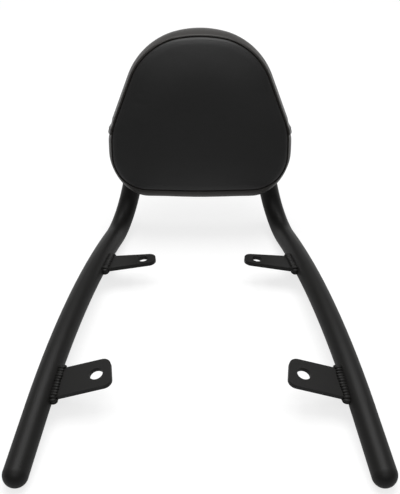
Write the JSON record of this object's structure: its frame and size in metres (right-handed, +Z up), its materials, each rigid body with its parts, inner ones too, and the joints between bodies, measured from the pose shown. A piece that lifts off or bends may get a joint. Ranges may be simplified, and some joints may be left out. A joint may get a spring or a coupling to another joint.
{
  "type": "motorcycle passenger backrest",
  "caption": "Bent round-tube hoop with long side rails, inward bolt tabs and a crowned, rounded vinyl back pad with a rear pocket over the top of the hoop",
  "frame": {"origin": "middle of the footprint, on the plane that the rail ends and the heels rest on", "axes": "+Z up, +Y towards the rear of the motorcycle (the pad end), +X towards the rider's left"},
  "size_m": [0.3746, 0.5243, 0.271],
  "materials": {
    "satin_black": "satin black powder coat on steel",
    "weld_black": "satin black powder coat on weld beads",
    "vinyl_front": "matte black grained upholstery vinyl",
    "vinyl_side": "matte black grained upholstery vinyl",
    "foam": "moulded polyurethane foam",
    "board": "raw plywood",
    "zinc_steel": "zinc plated steel"
  },
  "bodies": {
    "root": {"hoop_tube": "satin_black", "end_cap_left": "satin_black", "end_cap_right": "satin_black", "front_tab_left": "satin_black", "front_tab_right": "satin_black", "rear_tab_left": "satin_black", "rear_tab_right": "satin_black", "front_weld_left": "weld_black", "front_weld_right": "weld_black", "rear_weld_left": "weld_black", "rear_weld_right": "weld_black", "cross_plate": "satin_black", "plate_weld_left": "weld_black", "plate_weld_right": "weld_black", "base_board": "board", "foam_core": "foam", "front_panel": "vinyl_front", "side_band": "vinyl_side", "rear_pocket": "vinyl_side", "pad_screw_left": "zinc_steel", "pad_screw_right": "zinc_steel", "washer_left": "zinc_steel", "washer_right": "zinc_steel", "tee_nut_left": "zinc_steel", "tee_nut_right": "zinc_steel"}
  },
  "joints": []
}
